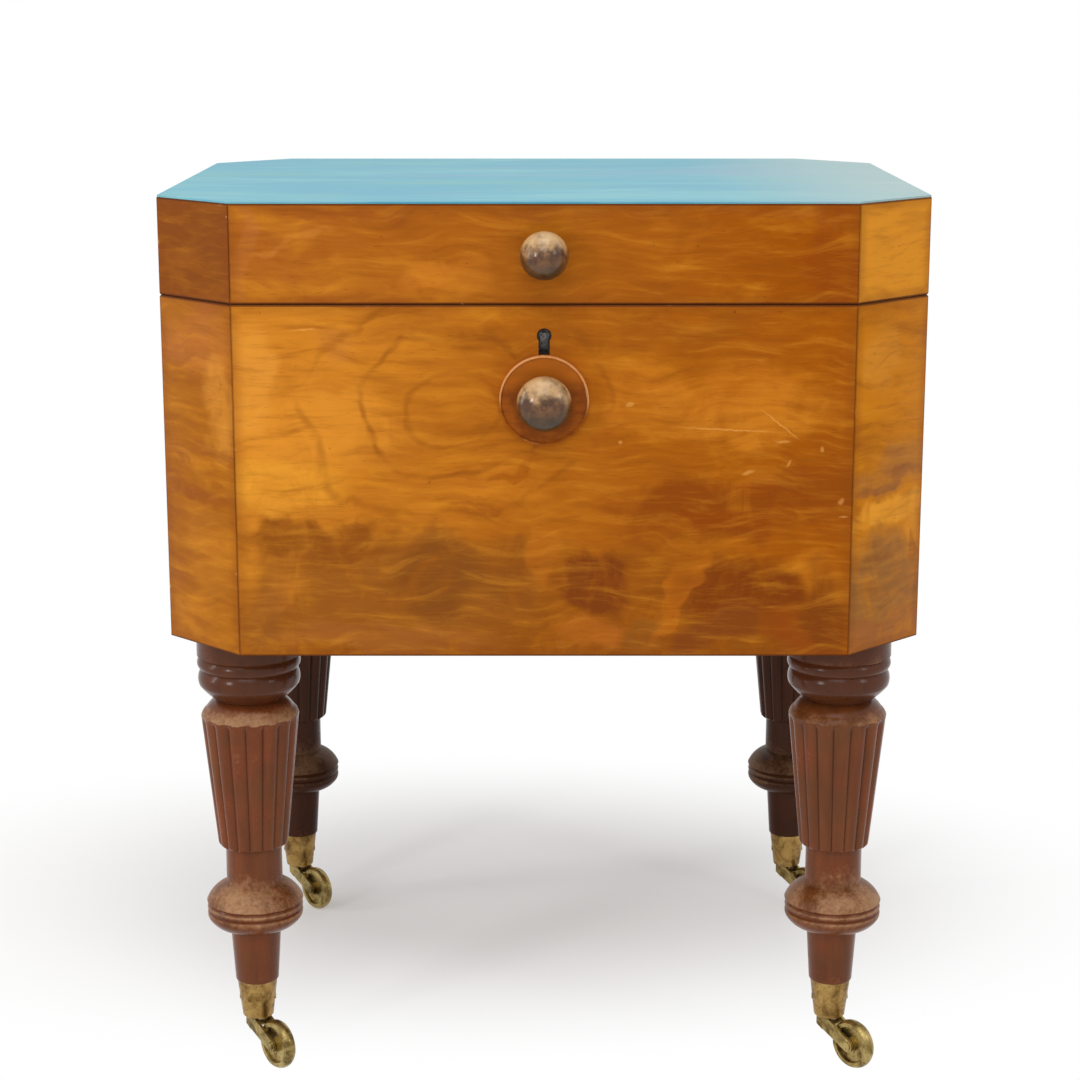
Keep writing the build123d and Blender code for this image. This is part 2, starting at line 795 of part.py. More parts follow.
# Every piece at its place, each in its own file
for name in SIDES:
    save(f"carcase_{name}", carcase[name])
save("carcase_bottom", bottom)
for name in SIDES:
    save(f"lid_{name}", lid[name])
save("lid_board", lid_board)
save("lid_covering", covering)
save("lid_knob", lid_knob)
save("body_knob", body_knob)
save("body_knob_rose", rose)
save("keyhole_escutcheon", escutcheon)
save("lock_case", lock_case)
save("lock_bolt", lock_bolt)
save("lock_link_plate", link)
save("hinge_lower_leaves", Compound(lower_leaves))
save("hinge_upper_leaves", Compound(upper_leaves))
save("hinge_pins", Compound(pins))
save("carcase_screws", Compound(carcase_screws))
save("lid_screws", Compound(lid_screws))
save("liner_floor", liner_floor)
save("liner_walls", liner_walls)
for i, piece in enumerate(long_boards):
    save(f"divider_long_{i + 1}", piece)
for i, piece in enumerate(cross_boards):
    save(f"divider_cross_{i + 1}", piece)
cup_screws = []
for name, (x, y) in CORNERS.items():
    place = Pos(x * leg_x, y * leg_y, 0)
    heading = place * Rot(0, 0, castor_heading)
    for side in (-1, 1):
        cup_screws.append(place * cup_screw(side, 0))
    save(f"leg_{name}", place * leg(REED_PHASE[name]))
    save(f"castor_cup_{name}", place * cup)
    save(f"castor_fork_{name}", heading * fork)
    save(f"castor_axle_{name}", heading * axle)
    save(f"castor_wheel_{name}", heading * wheel)
save("castor_cup_screws", Compound(cup_screws))
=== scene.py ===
import math

import bmesh
import bpy
from mathutils import Matrix, Vector


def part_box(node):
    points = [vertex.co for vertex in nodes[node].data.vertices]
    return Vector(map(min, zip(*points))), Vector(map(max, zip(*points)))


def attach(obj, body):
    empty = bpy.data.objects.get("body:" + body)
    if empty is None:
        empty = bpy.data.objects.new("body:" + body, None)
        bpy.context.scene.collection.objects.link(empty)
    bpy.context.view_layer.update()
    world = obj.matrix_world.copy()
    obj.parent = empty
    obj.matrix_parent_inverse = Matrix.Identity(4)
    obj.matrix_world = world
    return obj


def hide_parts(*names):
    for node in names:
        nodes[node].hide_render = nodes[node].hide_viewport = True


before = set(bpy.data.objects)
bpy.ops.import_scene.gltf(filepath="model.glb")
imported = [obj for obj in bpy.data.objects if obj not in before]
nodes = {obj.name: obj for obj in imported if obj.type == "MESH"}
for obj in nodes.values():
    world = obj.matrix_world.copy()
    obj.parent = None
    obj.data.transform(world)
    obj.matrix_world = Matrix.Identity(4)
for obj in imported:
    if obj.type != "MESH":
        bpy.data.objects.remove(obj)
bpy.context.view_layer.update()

# The view: a long lens a little above the lid, square to the front, looking slightly down.
# Its place was worked out from the box's edges and the four feet in the photograph.
VIEW_PLACE = (-0.00263, -1.7290, 0.72721)
VIEW_DOWN = math.radians(12.72)
VIEW_LENS = 80.77
VIEW_FILM = 36
VIEW_REACH = 60
view_data = bpy.data.cameras.new("view")
view_data.lens = VIEW_LENS
view_data.sensor_width = VIEW_FILM
view_data.clip_end = VIEW_REACH
view = bpy.data.objects.new("view", view_data)
view.location = VIEW_PLACE
view.rotation_euler = (math.pi / 2 - VIEW_DOWN, 0, 0)
bpy.context.scene.collection.objects.link(view)
bpy.context.scene.camera = view
bpy.context.scene.view_settings.view_transform = "Standard"


# The light: a large soft lamp high in front, a small one low on the left, a large one overhead
# and a window at each side, in a room that looks white and lights the object less than that.
WHITE = (1.0, 1.0, 1.0, 1.0)
ROOM_LIGHT = 0.57


def plainly_seen(tree):
    """1 for a ray from the view, a mirror or glass, and 0 for one that gathers light."""
    path = tree.nodes.new("ShaderNodeLightPath").outputs
    share = path["Is Camera Ray"]
    for ray in ("Is Glossy Ray", "Is Transmission Ray"):
        either = tree.nodes.new("ShaderNodeMath")
        either.operation = "MAXIMUM"
        tree.links.new(share, either.inputs[0])
        tree.links.new(path[ray], either.inputs[1])
        share = either.outputs[0]
    return share


room = bpy.data.worlds.new("room")
room.use_nodes = True
walls = room.node_tree.nodes["Background"]
walls.inputs["Color"].default_value = WHITE
brightness = room.node_tree.nodes.new("ShaderNodeMapRange")
brightness.inputs["To Min"].default_value = ROOM_LIGHT
room.node_tree.links.new(plainly_seen(room.node_tree), brightness.inputs["Value"])
room.node_tree.links.new(brightness.outputs[0], walls.inputs["Strength"])
bpy.context.scene.world = room


def lamp(name, place, aim_height, size, power):
    """A lamp of size metres and power watts, turned to a point over the middle of the floor."""
    data = bpy.data.lights.new(name, "AREA")
    data.shape = "RECTANGLE"
    data.size, data.size_y = size
    data.energy = power
    made = bpy.data.objects.new(name, data)
    made.location = place
    aim = Vector((0, 0, aim_height)) - Vector(place)
    made.rotation_euler = aim.to_track_quat("-Z", "Y").to_euler()
    bpy.context.scene.collection.objects.link(made)


lamp("front_softbox", (-0.2, -1.9, 2.2), 0.3, (1.5, 1.1), 13)
lamp("left_lamp", (-1.5, -1.7, 0.95), 0.35, (0.24, 0.5), 8)
lamp("overhead", (0.0, -0.45, 2.7), 0, (1.5, 1.5), 18)
lamp("left_window", (-2.2, -0.4, 0.9), 0.4, (0.14, 1.2), 7)
lamp("right_window", (2.1, -1.5, 1.5), 0.4, (0.4, 0.6), 5)


# The floor: a white sheet that keeps the object's soft shadow. It shows part of its shade round
# the middle of the shadow, and fades into the white room over the distances of FLOOR_CLEAR.
FLOOR_REACH = 30.0
FLOOR_CLEAR = (0.16, 0.62)
FLOOR_PALENESS = 0.24
FLOOR_ROUGHNESS = 0.95
SHADE_MIDDLE = (-0.07, 0.19)
SHADE_NARROWING = 1.7


def tone(red, green, blue):
    """A colour as the eye sees it, 0 to 255, as the linear colour that a finish takes."""
    parts = [c / 255 for c in (red, green, blue)]
    return (*(c / 12.92 if c <= 0.04045 else ((c + 0.055) / 1.055) ** 2.4 for c in parts), 1.0)


class Finish:
    """A finish as it is built up, step by step. A step takes numbers, colours or the results of
    earlier steps, and gives back its own result."""

    def __init__(self, name):
        self.material = bpy.data.materials.new(name)
        self.material.use_nodes = True
        self.tree = self.material.node_tree
        self.surface = self.tree.nodes["Principled BSDF"]
        self.end = self.tree.nodes["Material Output"]

    def feed(self, socket, value):
        if isinstance(value, bpy.types.NodeSocket):
            self.tree.links.new(value, socket)
        else:
            socket.default_value = value

    def step(self, kind, feeds, result=0, **settings):
        node = self.tree.nodes.new("ShaderNode" + kind)
        for key, value in settings.items():
            setattr(node, key, value)
        for key, value in feeds.items():
            self.feed(node.inputs[key], value)
        return node.outputs[result]

    def sum(self, kind, *values):
        return self.step("Math", dict(enumerate(values)), operation=kind)

    def fade(self, value, start, end, low=0.0, high=1.0):
        """Runs smoothly from low to high as value goes from start to end."""
        feeds = {"Value": value, "From Min": start, "From Max": end, "To Min": low, "To Max": high}
        return self.step("MapRange", feeds, interpolation_type="SMOOTHSTEP")

    def over(self, share, under, top):
        """Lays one colour over another."""
        feeds = {0: share, 6: under, 7: top}
        return self.step("Mix", feeds, 2, data_type="RGBA", clamp_result=True)

    def stain(self, colour, shade, value, start, end, share=1.0):
        """Lays a shade over a colour, up to share of it, as value goes from start to end."""
        return self.over(self.fade(value, start, end, 0.0, share), colour, shade)

    def uneven(self, value, cloud, reach):
        """Raises and lowers a value by up to half of reach, as a cloud is pale or dark."""
        return self.sum("MULTIPLY_ADD", self.sum("SUBTRACT", cloud, 0.5), reach, value)

    def object_place(self):
        return self.step("TexCoord", {}, "Object")

    def attribute(self, name, result):
        """What a piece's mesh keeps at each of its points."""
        return self.step("Attribute", {}, result, attribute_name=name)

    def parts(self, vector):
        return self.step("SeparateXYZ", {0: vector}).node.outputs

    def length(self, vector):
        return self.step("VectorMath", {0: vector}, "Value", operation="LENGTH")

    def stretch(self, place, scale, move=(0.0, 0.0, 0.0)):
        return self.step("Mapping", {"Vector": place, "Scale": scale, "Location": move})

    def noise(self, place, scale, detail, rough, twist, result):
        feeds = {"Vector": place, "Scale": scale, "Detail": detail, "Roughness": rough}
        feeds["Distortion"] = twist
        return self.step("TexNoise", feeds, result)

    def cloud(self, place, scale=1.0, detail=3.0, rough=0.5, twist=0.0):
        """Soft random patches, from 0 to 1, about 1 / scale metres across."""
        return self.noise(place, scale, detail, rough, twist, "Fac")

    def shaken(self, place, scale, reach, detail=3.0):
        """A place moved about at random by up to half of reach, for an uneven outline."""
        push = self.noise(place, scale, detail, 0.6, 0.0, "Color")
        push = self.step("VectorMath", {0: push, 1: (0.5,) * 3}, operation="SUBTRACT")
        return self.step("VectorMath", {0: push, 1: (reach,) * 3, 2: place}, operation="MULTIPLY_ADD")

    def away(self, place, spot):
        """How far a place is from the middle of an oval, which has 1 at its edge. The oval is
        (across, up, half width, half height, tilt) in millimetres and degrees."""
        x, y, wide, high, tilt = spot
        feeds = {
            "Vector": place,
            "Location": (x / 1000, y / 1000, 0.0),
            "Rotation": (0.0, 0.0, math.radians(tilt)),
            "Scale": (wide / 1000, high / 1000, 1000.0),
        }
        return self.length(self.step("Mapping", feeds, vector_type="TEXTURE"))

    def patch(self, place, spot, edge):
        """A soft oval, 1 inside and 0 outside, whose edge is spread by a share of its size."""
        return self.fade(self.away(place, spot), 1 + edge, 1 - edge)

    def polish(self, colour, roughness, metal=0.0, mirror=0.5):
        """Gives the surface its colour, its roughness, and its shares of metal and of mirror."""
        self.feed(self.surface.inputs["Base Color"], colour)
        self.feed(self.surface.inputs["Roughness"], roughness)
        self.surface.inputs["Metallic"].default_value = metal
        self.surface.inputs["Specular IOR Level"].default_value = mirror

    def dent(self, height, depth):
        """Raises and lowers the surface by height times depth, in metres."""
        bump = self.step("Bump", {"Height": height, "Distance": depth, "Strength": 1.0}, "Normal")
        self.feed(self.surface.inputs["Normal"], bump)


floor_mesh = bpy.data.meshes.new("floor")
corners = [(-1, -1), (1, -1), (1, 1), (-1, 1)]
floor_mesh.from_pydata([(x * FLOOR_REACH, y * FLOOR_REACH, 0) for x, y in corners], [], [(0, 1, 2, 3)])
floor = bpy.data.objects.new("floor", floor_mesh)
bpy.context.scene.collection.objects.link(floor)
paint = Finish("white_floor")
paint.polish(tone(247, 246, 245), FLOOR_ROUGHNESS, mirror=0.0)
shift = (-SHADE_MIDDLE[0], -SHADE_MIDDLE[1] * SHADE_NARROWING, 0.0)
distance = paint.length(paint.stretch(paint.object_place(), (1.0, SHADE_NARROWING, 1.0), shift))
paleness = paint.fade(distance, *FLOOR_CLEAR, FLOOR_PALENESS, 1.0)
share = paint.sum("MULTIPLY", plainly_seen(paint.tree), paleness)
white = paint.step("Emission", {"Color": WHITE, "Strength": 1.0})
shown = paint.step("MixShader", {0: share, 1: paint.surface.outputs[0], 2: white})
paint.feed(paint.end.inputs["Surface"], shown)
floor_mesh.materials.append(paint.material)


# The carcase's and the lid's boards: solid mahogany with a golden, figured face, mitred at the
# canted corners. Each board's face grows darker within a centimetre of its outer edges, which are
# eased a little, dark with old dirt right at them and chipped pale here and there.
BOARDS = (
    "front",
    "cant_front_right",
    "right",
    "cant_back_right",
    "back",
    "cant_back_left",
    "left",
    "cant_front_left",
)
EDGE_EASING = 0.0007
EASING_STEPS = 3
JOINED = 1e-6  # points this close are one point
FLUSH = 1e-5  # points this close to a face lie on it
FLAT_WITHIN = math.radians(0.5)
FIGURE_SHIFT = 0.37  # from one board's small figure to the next board's, in metres


def ready(name, mesh, finish, body, node):
    """Puts a finished mesh in the scene as a piece that rides on a body and replaces a node."""
    piece = bpy.data.objects.new(name, mesh)
    bpy.context.scene.collection.objects.link(piece)
    mesh.materials.clear()
    mesh.materials.append(finish)
    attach(piece, body)
    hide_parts(node)


def note(mesh, name, values, kind="FLOAT_VECTOR"):
    """Stores one value for each point of a mesh, for its finish to read."""
    stored = mesh.attributes.new(name, kind, "POINT")
    if kind == "FLOAT_VECTOR":
        stored.data.foreach_set("vector", [part for value in values for part in value])
    else:
        stored.data.foreach_set("value", values)


def eased_board(group, side, order, finish, body):
    """One board, order eighths of a turn round from the front, with its outer edges eased. Its
    points keep their place on its face (grain) and the face's own measures (board)."""
    name = f"{group}_{side}"
    angle = math.radians(order * 360 / len(BOARDS) - 90)
    out = Vector((math.cos(angle), math.sin(angle), 0))
    along = Vector((-math.sin(angle), math.cos(angle), 0))
    shape = bmesh.new()
    shape.from_mesh(nodes[name].data)
    bmesh.ops.remove_doubles(shape, verts=shape.verts, dist=JOINED)
    bmesh.ops.dissolve_limit(shape, angle_limit=FLAT_WITHIN, verts=shape.verts, edges=shape.edges)
    face_at = max(v.co.dot(out) for v in shape.verts)
    outer = {v for v in shape.verts if v.co.dot(out) > face_at - FLUSH}
    reach = [v.co.dot(along) for v in outer]
    heights = [v.co.z for v in outer]
    limits = ((0, min(reach)), (0, max(reach)), (1, min(heights)), (1, max(heights)))
    rims = []
    for edge in shape.edges:
        ends = [(v.co.dot(along), v.co.z) for v in edge.verts if v in outer]
        on_rim = any(all(abs(end[axis] - limit) < FLUSH for end in ends) for axis, limit in limits)
        if len(ends) == 2 and on_rim:
            rims.append(edge)
    bmesh.ops.bevel(
        shape, geom=rims, offset=EDGE_EASING, segments=EASING_STEPS, profile=0.5, affect="EDGES"
    )
    mesh = bpy.data.meshes.new(name + "_board")
    shape.to_mesh(mesh)
    shape.free()
    middle = (min(reach) + max(reach)) / 2
    half = (max(reach) - min(reach)) / 2
    low, high = (corner.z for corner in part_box(name))
    points = [v.co for v in mesh.vertices]
    note(mesh, "grain", [(p.dot(along) - middle, p.z - low, face_at - p.dot(out)) for p in points])
    note(mesh, "board", [(half, high - low, order * FIGURE_SHIFT)] * len(points))
    ready(name + "_board", mesh, finish, body, name)


MOTTLE_RUN = (13.0, 30.0, 13.0)
MOTTLE_PALE = tone(216, 138, 30)
MOTTLE_DARK = tone(148, 78, 14)
FEATHER_RUN = (34.0, 22.0, 1.0)
GROWTH_LINE = tone(138, 72, 12)
SILK_RUN = (34.0, 300.0, 60.0)
SILK_PALE = tone(228, 152, 40)
SILK_DARK = tone(134, 68, 12)
RIPPLE_RUN = (17.0, 130.0, 1.0)
RIPPLE_PALE = tone(224, 148, 40)
RIPPLE_DARK = tone(130, 66, 8)
PORE_RUN = (110.0, 1300.0, 300.0)
PORE = tone(96, 46, 12)
FLECK = tone(84, 42, 14)
SCRATCHED = tone(240, 176, 90)
RIM_DARK = tone(126, 62, 14)
RIM_DIRT = tone(78, 36, 14)
RIM_CHIP = tone(218, 164, 116)
BARE_WOOD = tone(126, 82, 46)


def growth_lines(paint, flat, gentle, swirl):
    """Where broken dark rings run round an oval, from 0 to 1."""
    away = paint.away(paint.shaken(gentle, 22.0, 0.020), swirl)
    rings = paint.sum("PINGPONG", paint.sum("MULTIPLY", away, 1.7), 0.5)
    near = paint.sum("MULTIPLY", paint.fade(away, 2.1, 1.5), paint.fade(away, 0.3, 0.8))
    line = paint.sum("MULTIPLY", paint.fade(rings, 0.13, 0.0), near)
    return paint.sum("MULTIPLY", line, paint.fade(paint.cloud(flat, 24.0), 0.36, 0.54))


def golden_mahogany(name, shades, figure=(), swirl=None, scratches=(), figured=1.0):
    """shades are the colours across a board, from left to right. figure lists its dark and pale
    patches as (spot, colour, strength), swirl is the oval that its growth lines run round, and
    figured is how strongly the small figure shows."""
    paint = Finish(name)
    grain = paint.attribute("grain", "Vector")
    across, up, inwards = paint.parts(grain)
    half_width, height, shift = paint.parts(paint.attribute("board", "Vector"))
    seed = paint.step("CombineXYZ", {"X": shift, "Y": shift, "Z": shift})
    place = paint.step("VectorMath", {0: grain, 1: seed}, operation="ADD")
    flat = paint.step("CombineXYZ", {"X": across, "Y": up, "Z": 0.0})
    gentle = paint.shaken(flat, 9.0, 0.06, 2.0)
    wavy = paint.shaken(paint.shaken(flat, 14.0, 0.06), 60.0, 0.014, 5.0)

    drift = paint.sum("DIVIDE", across, half_width)
    drift = paint.sum("MULTIPLY_ADD", paint.cloud(place, 8.0), 0.9, drift)
    colour = paint.stain(shades[0], shades[1], drift, -0.55, 0.45)
    colour = paint.stain(colour, shades[2], drift, 0.35, 1.35)
    mottle = paint.cloud(paint.stretch(place, MOTTLE_RUN), detail=5.0, rough=0.58, twist=0.4)
    colour = paint.stain(colour, MOTTLE_PALE, mottle, 0.50, 0.70, 0.38 * figured)
    colour = paint.stain(colour, MOTTLE_DARK, mottle, 0.50, 0.30, 0.42 * figured)

    feather = paint.cloud(paint.stretch(flat, FEATHER_RUN), detail=5.0, rough=0.65, twist=1.0)
    feather = paint.fade(feather, 0.30, 0.62, 0.45, 1.1)
    for spot, shade, strength in figure:
        share = paint.sum("MULTIPLY", feather, strength)
        share = paint.sum("MULTIPLY", paint.patch(wavy, spot, 0.3), share)
        colour = paint.over(share, colour, tone(*shade))
    if swirl:
        line = growth_lines(paint, flat, gentle, swirl)
        colour = paint.over(paint.sum("MULTIPLY", line, 0.7), colour, GROWTH_LINE)

    silk = paint.cloud(paint.stretch(place, SILK_RUN), detail=4.0, rough=0.62, twist=0.4)
    ripple = paint.cloud(paint.stretch(gentle, RIPPLE_RUN), detail=4.0, rough=0.6)
    colour = paint.stain(colour, SILK_PALE, silk, 0.50, 0.72, 0.10)
    colour = paint.stain(colour, RIPPLE_PALE, ripple, 0.48, 0.74, 0.28 * figured)
    colour = paint.stain(colour, RIPPLE_DARK, ripple, 0.50, 0.28, 0.34 * figured)
    colour = paint.stain(colour, SILK_DARK, silk, 0.50, 0.26, 0.24)
    pitted = paint.fade(paint.cloud(paint.stretch(place, PORE_RUN), detail=2.0), 0.34, 0.26)
    colour = paint.over(paint.sum("MULTIPLY", pitted, 0.35), colour, PORE)
    colour = paint.stain(colour, FLECK, paint.cloud(place, 170.0, 2.0), 0.73, 0.80, 0.6)

    if scratches:
        marks = 0.0
        rough = paint.shaken(flat, 260.0, 0.0024)
        for spot in scratches:
            marks = paint.sum("MAXIMUM", marks, paint.patch(rough, spot, 0.5))
        colour = paint.over(paint.sum("MULTIPLY", marks, 0.34), colour, SCRATCHED)

    ends = paint.sum("SUBTRACT", half_width, paint.sum("ABSOLUTE", across))
    sides = paint.sum("MINIMUM", up, paint.sum("SUBTRACT", height, up))
    rim = paint.sum("MINIMUM", ends, sides)
    colour = paint.stain(colour, RIM_DARK, rim, 0.010, 0.0, 0.34)
    dirty_sides = paint.fade(sides, 0.0016, 0.0007, 0.0, 0.8)
    dirty_ends = paint.fade(ends, 0.0014, 0.0005, 0.0, 0.38)
    colour = paint.over(paint.sum("MAXIMUM", dirty_sides, dirty_ends), colour, RIM_DIRT)
    rubbed = paint.fade(paint.cloud(place, 46.0, 5.0, 0.65), 0.64, 0.70)
    chipped = paint.sum("MULTIPLY", paint.fade(rim, 0.0022, 0.0010), rubbed)
    colour = paint.over(paint.sum("MULTIPLY", chipped, 0.7), colour, RIM_CHIP)
    colour = paint.stain(colour, BARE_WOOD, inwards, 0.001, 0.003)

    gloss = paint.fade(silk, 0.3, 0.7, 0.36, 0.46)
    paint.polish(colour, paint.sum("MULTIPLY_ADD", pitted, 0.2, gloss), mirror=0.06)
    paint.dent(paint.sum("MULTIPLY_ADD", pitted, -0.5, paint.sum("MULTIPLY", silk, 0.35)), 0.0001)
    return paint.material


# Each mark on a board is an oval: how far across from the board's middle and up from its foot,
# half its width, half its height, and its tilt. A figure adds its colour and strength to each.
SCRATCHES = (
    (117, 150, 28, 0.5, -3),
    (151, 153, 14, 0.5, -38),
    (153, 142, 4, 0.8, 0),
    (178, 137, 1.2, 1.8, 0),
    (157, 128, 2.4, 0.8, 60),
    (131, 122, 4, 1.3, 20),
    (49, 142, 1.2, 1.2, 0),
    (191, 103, 2.4, 1.6, 50),
    (193, 93, 3, 0.5, 0),
    (55, 166, 2.6, 1.4, 20),
    (-152, 214, 7, 0.5, 4),
)
FRONT_SWIRL = (-60, 164, 56, 42, 8)
FRONT_FIGURE = (
    ((0, 16, 230, 52, 0), (138, 74, 10), 0.85),
    ((-109, 40, 92, 38, 0), (148, 86, 24), 0.85),
    ((-134, 74, 40, 12, 4), (138, 76, 16), 0.9),
    ((-68, 52, 28, 26, 0), (128, 72, 20), 0.85),
    ((-172, 46, 15, 11, 10), (190, 114, 36), 0.4),
    ((-100, 12, 70, 10, 0), (160, 92, 38), 0.5),
    ((-2, 66, 13, 17, -20), (196, 114, 30), 0.35),
    ((-24, 52, 14, 20, 0), (132, 74, 20), 0.6),
    ((-180, 28, 15, 26, 0), (140, 82, 30), 0.55),
    ((85, 78, 32, 10, 5), (138, 68, 8), 0.6),
    ((33, 49, 21, 17, 10), (122, 58, 12), 1.25),
    ((27, 16, 21, 12, 0), (188, 104, 34), 0.5),
    ((63, 15, 13, 14, 0), (140, 84, 26), 0.6),
    ((128, 45, 34, 22, 8), (122, 56, 6), 1.0),
    ((112, 15, 32, 14, 15), (128, 64, 16), 0.95),
    ((170, 18, 30, 18, -10), (142, 68, 10), 0.85),
    ((84, 36, 34, 6, 61), (190, 104, 18), 0.5),
    ((84, 60, 16, 9, 20), (166, 92, 10), 0.4),
    ((179, 56, 19, 13, -20), (184, 106, 18), 0.65),
    ((130, 102, 86, 20, 3), (140, 68, 6), 1.05),
    ((-150, 152, 62, 26, 0), (228, 148, 46), 0.45),
    ((-28, 117, 34, 12, 0), (208, 126, 30), 0.4),
    ((129, 93, 76, 7, 7), (140, 64, 2), 0.6),
    ((148, 116, 56, 6, 5), (146, 68, 4), 0.5),
    ((118, 164, 74, 19, -4), (210, 130, 34), 0.5),
    ((30, 216, 120, 12, 0), (140, 72, 10), 0.4),
    ((-178, 76, 22, 13, 0), (136, 74, 14), 0.85),
    ((180, 34, 17, 28, 0), (122, 60, 10), 0.8),
    ((187, 145, 13, 85, 0), (150, 76, 6), 0.55),
    ((155, 207, 46, 9, 0), (160, 82, 4), 0.5),
    ((59, 176, 23, 20, 20), (194, 112, 24), 0.5),
    ((128, 180, 35, 16, 0), (196, 114, 24), 0.45),
    ((-166, 110, 36, 20, 0), (228, 154, 46), 0.75),
    ((-185, 184, 14, 34, 0), (222, 148, 54), 0.6),
    ((-132, 211, 14, 15, 0), (184, 112, 48), 0.35),
    # Painted shadow: the thin dark streak under the rose's lower left.
    ((-19, 125, 22, 3.5, 25), (156, 80, 8), 0.7),
    ((-46, 98, 22, 2.4, -3), (150, 78, 18), 0.6),
)
LID_FIGURE = (
    ((181, 33, 22, 34, 0), (142, 66, 4), 0.75),
    ((-156, 42, 27, 3.5, 8), (204, 130, 56), 0.25),
    ((-59, 18, 28, 12, 0), (200, 120, 34), 0.5),
    ((0, 59, 200, 5, 0), (152, 78, 24), 0.45),
    ((-191, 34, 8, 32, 0), (184, 112, 56), 0.3),
    ((80, 44, 28, 8, 0), (184, 106, 20), 0.35),
)
LEFT_CANT_FIGURE = (
    ((0, 205, 40, 26, 0), (170, 98, 44), 0.6),
    ((22, 165, 14, 34, 0), (208, 138, 50), 0.6),
    ((0, 132, 42, 3.5, 0), (150, 84, 24), 0.7),
    ((-8, 106, 38, 8, -4), (146, 78, 16), 0.85),
    ((8, 66, 28, 30, 10), (192, 120, 36), 0.25),
    ((-28, 45, 8, 12, 0), (150, 82, 20), 0.6),
)
RIGHT_CANT_FIGURE = (
    ((-12, 196, 20, 32, 0), (206, 134, 46), 0.5),
    ((4, 120, 44, 13, 12), (166, 106, 46), 0.8),
    ((2, 112, 42, 4, 12), (140, 82, 44), 0.6),
    ((0, 90, 44, 12, 10), (230, 154, 44), 0.9),
    ((-4, 40, 44, 33, 0), (154, 100, 46), 1.0),
    ((0, 10, 44, 14, 0), (164, 98, 46), 0.8),
    ((30, 80, 9, 16, 0), (222, 144, 36), 0.8),
    ((31, 62, 3, 8, 0), (150, 80, 16), 0.7),
)
FOOT_FIGURE = FRONT_FIGURE[:17]
UNSEEN_STRENGTH = 0.55


def turned_about(figure, across, up=1.0):
    """A figure for a board that the photograph doesn't show: fainter, stretched by across and
    up, and mirrored where across is negative."""
    return tuple(
        ((x * across, y * up, wide * abs(across), high * up, -tilt), shade, strength * UNSEEN_STRENGTH)
        for (x, y, wide, high, tilt), shade, strength in figure
    )


golden, middling, deep = tone(200, 124, 34), tone(172, 97, 16), tone(160, 84, 2)
lid_left, lid_middle, lid_right = tone(166, 93, 26), tone(164, 91, 16), tone(154, 78, 0)
# Painted light: the cants are a shaded copy (left) and a lit copy (right) of one wood, each used again
# diagonally across.
shaded_cant_finish = golden_mahogany("shaded_cant_mahogany", (tone(162, 94, 12),) * 3, LEFT_CANT_FIGURE)
lit_cant_finish = golden_mahogany("lit_cant_mahogany", (tone(202, 122, 14),) * 3, RIGHT_CANT_FIGURE)
CARCASE_FINISHES = {
    "front": golden_mahogany(
        "front_mahogany", (golden, middling, deep), FRONT_FIGURE, FRONT_SWIRL, SCRATCHES
    ),
    "back": golden_mahogany(
        "back_mahogany", (middling, middling, golden), turned_about(FOOT_FIGURE, -1.0, 1.15)
    ),
    "cant_front_left": shaded_cant_finish,
    "cant_back_right": shaded_cant_finish,
    "cant_front_right": lit_cant_finish,
    "cant_back_left": lit_cant_finish,
}
LID_FINISHES = {
    "front": golden_mahogany("lid_front_mahogany", (lid_left, lid_middle, lid_right), LID_FIGURE),
    # Painted light: the lid's front cants are a shaded copy on the left and a lit copy on the right.
    "cant_front_left": golden_mahogany(
        "lid_shaded_cant_mahogany", (tone(126, 64, 4),) * 3, figured=0.35
    ),
    "cant_front_right": golden_mahogany(
        "lid_lit_cant_mahogany", (tone(222, 144, 36),) * 3, figured=0.8
    ),
}
side_finish = golden_mahogany(
    "side_mahogany", (middling, golden, middling), turned_about(FOOT_FIGURE, -0.76)
)
lid_side_finish = golden_mahogany("lid_side_mahogany", (lid_middle, lid_left, lid_middle))
for order, side in enumerate(BOARDS):
    eased_board("carcase", side, order, CARCASE_FINISHES.get(side, side_finish), "carcase")
    eased_board("lid", side, order, LID_FINISHES.get(side, lid_side_finish), "lid")


# The lid's top: a thin covering stuck down on the lid board, with a hair's breadth of wood left round it.
# Its pale blue, streaked paler and greener and greyer towards the right end, is painted reflection of a
# bright room.
def repaint(finish, *names):
    """Gives their finish to pieces whose own shape is right as it is."""
    for name in names:
        nodes[name].data.materials.clear()
        nodes[name].data.materials.append(finish)


paint = Finish("blue_painted_reflection")
place = paint.object_place()
streaky = paint.shaken(place, 5.0, 0.06)
streaked = paint.cloud(paint.stretch(streaky, (5.0, 22.0, 5.0)), detail=5.0, rough=0.6, twist=0.4)
patches = paint.stretch(place, (3.0, 8.0, 3.0), (4.0, 1.0, 0.0))
patches = paint.cloud(patches, detail=4.0, twist=0.9)
# Painted reflection: the blue and its paler, greener and greyer streaks stand in for a glossy top's
# reflection.
colour = paint.stain(tone(74, 156, 178), tone(120, 180, 190), streaked, 0.36, 0.66)
colour = paint.stain(colour, tone(112, 172, 170), patches, 0.52, 0.68, 0.6)
colour = paint.stain(colour, tone(134, 162, 186), patches, 0.44, 0.30, 0.5)
colour = paint.stain(colour, tone(166, 190, 188), streaked, 0.62, 0.72, 0.5)
colour = paint.stain(colour, tone(170, 188, 184), paint.parts(place)[0], 0.09, 0.25, 0.75)
paint.polish(colour, paint.fade(streaked, 0.3, 0.7, 0.42, 0.58), mirror=0.3)
paint.dent(paint.cloud(place, 900.0, rough=0.6), 0.00004)
repaint(paint.material, "lid_covering")


# The unseen woodwork: the carcase's bottom, the board under the lid's covering and the lifting
# dividers, in plain straight-grained mahogany without polish.
INNER_PALE = tone(152, 101, 60)
INNER_DARK = tone(122, 76, 43)
INNER_PORE = tone(70, 38, 18)


